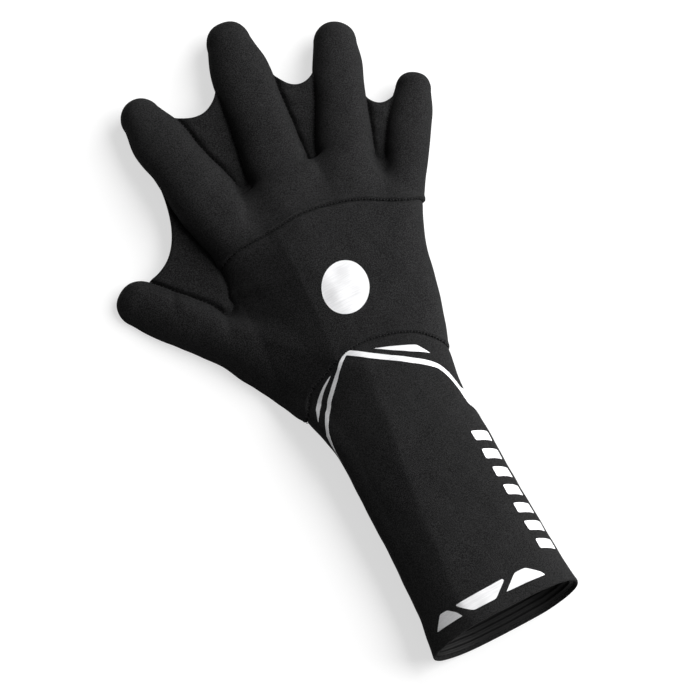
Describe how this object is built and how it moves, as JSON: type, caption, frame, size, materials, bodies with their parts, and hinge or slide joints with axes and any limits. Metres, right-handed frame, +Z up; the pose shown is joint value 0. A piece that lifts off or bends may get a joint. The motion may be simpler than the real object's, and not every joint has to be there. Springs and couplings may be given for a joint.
{
  "type": "webbed swim glove",
  "caption": "Right-hand neoprene swim glove with webs between the fingers and a long cuff, lying palm down with its mouth open.",
  "frame": {"origin": "middle of the footprint, on the surface that the glove lies on", "axes": "+X across the hand towards the little finger, +Y from the cuff's mouth to the fingertips, +Z up from the surface towards the back of the hand"},
  "size_m": [0.1904, 0.3346, 0.037],
  "materials": {
    "hand_neoprene": "matte fine jersey knit on foamed neoprene",
    "cuff_neoprene": "smooth matte jersey on foamed neoprene",
    "seal_rubber": "smooth and slightly glossy"
  },
  "bodies": {
    "root": {"finger_back_panel": "hand_neoprene", "hand_back_panel": "hand_neoprene", "palm_panel": "hand_neoprene", "web_thumb_index": "hand_neoprene", "web_index_middle": "hand_neoprene", "web_middle_ring": "hand_neoprene", "web_ring_little": "hand_neoprene", "cuff_sleeve": "cuff_neoprene", "cuff_seal": "seal_rubber"}
  },
  "joints": []
}
